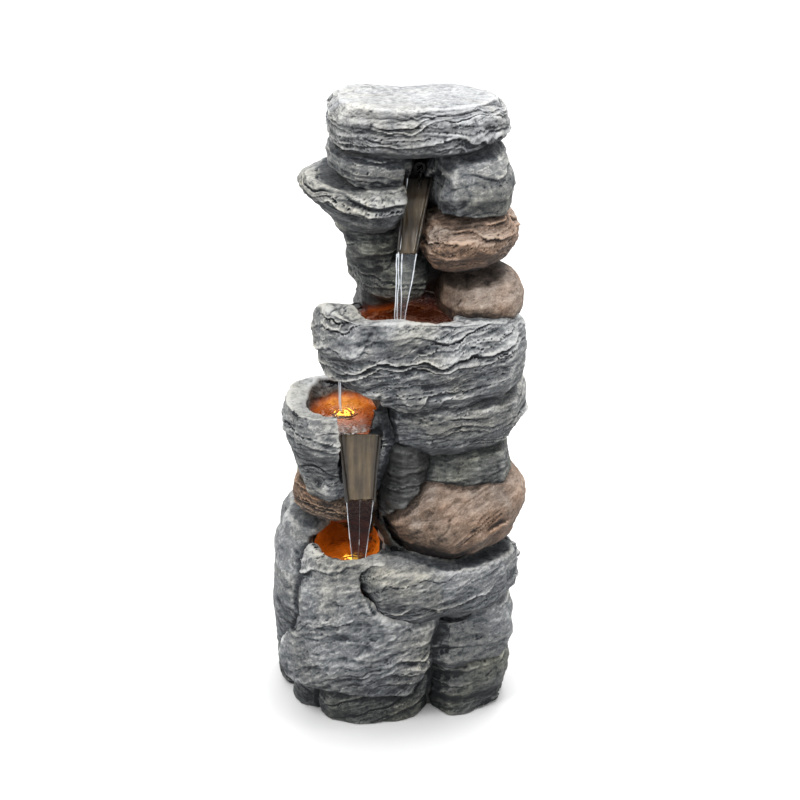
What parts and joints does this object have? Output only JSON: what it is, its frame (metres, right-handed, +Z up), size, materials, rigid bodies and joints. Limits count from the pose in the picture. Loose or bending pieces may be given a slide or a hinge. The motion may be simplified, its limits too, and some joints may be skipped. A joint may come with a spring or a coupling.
{
  "type": "tiered rock water fountain",
  "caption": "Tall tiered garden fountain of stacked slate-like stones, with lit pools on the left side, narrow spillway chutes and a flat slab on top.",
  "frame": {"origin": "on the floor, in the flat underside of the reservoir tub, under the middle of the stack", "axes": "+Z up, -Y towards the front with the pools and chutes, +X to the viewer's right, +Y to the flat back"},
  "size_m": [0.4565, 0.3481, 1.1203],
  "materials": {
    "grey_stone": "moulded resin, textured like weathered slate, dry-brushed light grey over blue-black crevices",
    "brown_stone": "moulded resin, textured like river stone, warm taupe brown with grey highlights",
    "dark_stone": "moulded resin, dark wet slate",
    "bronze_chute": "moulded resin, wet bronze brown, glossy where the water runs",
    "liner_plastic": "smooth moulded plastic, satin",
    "black_plastic": "moulded plastic, fine satin grain",
    "black_rubber": "soft rubber, matt",
    "amber_lens": "clear amber lens, lit from inside",
    "lead_sheath": "flexible sheath, matt",
    "clear_tube": "soft clear vinyl, slightly milky",
    "steel": "zinc-plated steel",
    "impeller_plastic": "moulded light grey plastic",
    "dial_plastic": "moulded grey plastic"
  },
  "bodies": {
    "fountain": {"base_front_boulder": "grey_stone", "base_front_foot": "grey_stone", "base_lamp": "black_plastic", "base_lamp_lead": "lead_sheath", "base_lamp_lens": "amber_lens", "base_left_boulder": "grey_stone", "base_left_front_foot": "grey_stone", "base_left_rear_foot": "grey_stone", "base_pool_pan": "liner_plastic", "base_rear_stone": "dark_stone", "base_right_foot": "grey_stone", "base_right_middle_stone": "grey_stone", "base_strata_slab": "grey_stone", "brown_boulder": "brown_stone", "brown_ledge": "brown_stone", "cable_gland": "black_plastic", "cap_stone": "grey_stone", "channel_stone": "dark_stone", "core_duct": "liner_plastic", "drain_pipe": "black_plastic", "hose_clamp": "steel", "lamp_supply_box": "black_plastic", "left_column_stone": "grey_stone", "left_foot_stone": "dark_stone", "left_ledge": "grey_stone", "left_neck_stone": "grey_stone", "middle_basin": "grey_stone", "middle_chute": "bronze_chute", "middle_lamp": "black_plastic", "middle_lamp_lead": "lead_sheath", "middle_lamp_lens": "amber_lens", "niche_stone": "dark_stone", "pump_housing": "black_plastic", "pump_lead": "lead_sheath", "pump_suction_feet": "black_rubber", "pump_volute_cover": "black_plastic", "rear_left_stone": "dark_stone", "rear_panel": "grey_stone", "right_smooth_boulder": "brown_stone", "right_strata_boulder": "brown_stone", "right_top_boulder": "grey_stone", "riser_tube": "clear_tube", "shoulder_stone": "grey_stone", "spout_nozzle": "black_plastic", "strata_slab": "grey_stone", "tub": "liner_plastic", "upper_basin": "grey_stone", "upper_chute": "bronze_chute", "upper_lamp": "black_plastic", "upper_lamp_lead": "lead_sheath", "upper_lamp_lens": "amber_lens", "upper_left_ledge": "grey_stone"},
    "impeller": {"pump_impeller": "impeller_plastic"},
    "strainer_cover": {"pump_strainer_cover": "black_plastic"},
    "flow_dial": {"pump_flow_dial": "dial_plastic"},
    "service_hatch": {"hatch_door": "grey_stone", "hatch_gasket": "black_rubber", "hatch_screws": "steel"},
    "tub_plug": {"drain_plug": "black_rubber"},
    "pool_strainer": {"drain_strainer": "black_plastic"}
  },
  "joints": [
    {"name": "impeller_spin", "type": "hinge", "parent": "fountain", "child": "impeller", "pos_m": [-0.008, 0.076, 0.041], "axis": [1, 0, 0], "continuous": true},
    {"name": "strainer_cover_slide", "type": "slide", "parent": "fountain", "child": "strainer_cover", "axis": [1, 0, 0], "range_m": [0, 0.036]},
    {"name": "flow_dial_turn", "type": "hinge", "parent": "strainer_cover", "child": "flow_dial", "pos_m": [0.0693, 0.076, 0.041], "axis": [1, 0, 0], "range_deg": [0, 90]},
    {"name": "service_hatch_slide", "type": "slide", "parent": "fountain", "child": "service_hatch", "axis": [0, 1, 0], "range_m": [0, 0.15]},
    {"name": "tub_plug_slide", "type": "slide", "parent": "fountain", "child": "tub_plug", "axis": [0, 1, 0], "range_m": [0, 0.06]},
    {"name": "pool_strainer_lift", "type": "slide", "parent": "fountain", "child": "pool_strainer", "axis": [0, 0, 1], "range_m": [0, 0.03]}
  ]
}
